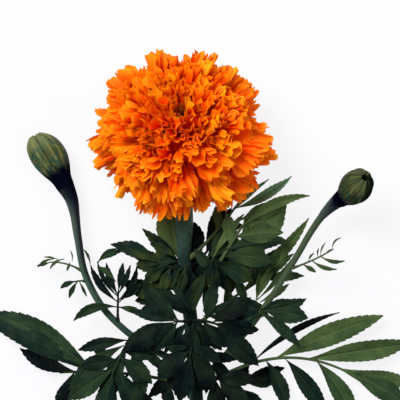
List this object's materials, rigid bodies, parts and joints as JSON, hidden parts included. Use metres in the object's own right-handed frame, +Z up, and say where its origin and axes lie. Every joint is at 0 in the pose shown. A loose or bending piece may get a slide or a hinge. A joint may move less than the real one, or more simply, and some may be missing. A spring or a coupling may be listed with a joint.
{
  "type": "marigold flower",
  "caption": "Cut double orange marigold lying down, with green buds on side stalks and feathered, toothed leaves.",
  "frame": {"origin": "on the surface that the flower lies on, under the middle of its footprint", "axes": "+Z up from the surface, +Y from the cut end of the stem towards the bloom, +X towards the long leaf on the right as seen from above"},
  "size_m": [0.1934, 0.1701, 0.0658],
  "materials": {
    "petals": "soft, slightly waxy orange petals, redder in the depths",
    "cup": "satin green, ribbed",
    "stem": "satin blue-green with fine lengthwise ridges",
    "bud": "satin olive green with lengthwise stripes",
    "leaf": "matte green leaf with a pale rib"
  },
  "bodies": {
    "root": {"bloom_cup": "cup", "bloom_petals": "petals", "bract_left_lower": "leaf", "bract_left_upper": "leaf", "bract_right": "leaf", "bud_left": "bud", "bud_right": "bud", "bud_stalk_left": "stem", "bud_stalk_right": "stem", "leaf_behind_left": "leaf", "leaf_behind_right": "leaf", "leaf_centre_down": "leaf", "leaf_centre_left": "leaf", "leaf_centre_low": "leaf", "leaf_centre_right": "leaf", "leaf_down_left": "leaf", "leaf_down_right": "leaf", "leaf_left_down": "leaf", "leaf_left_long": "leaf", "leaf_left_small": "leaf", "leaf_mid_left": "leaf", "leaf_mid_right": "leaf", "leaf_right_broad": "leaf", "leaf_right_long": "leaf", "leaf_right_side": "leaf", "leaf_upper_left": "leaf", "leaf_upper_right": "leaf", "main_stem": "stem"}
  },
  "joints": []
}
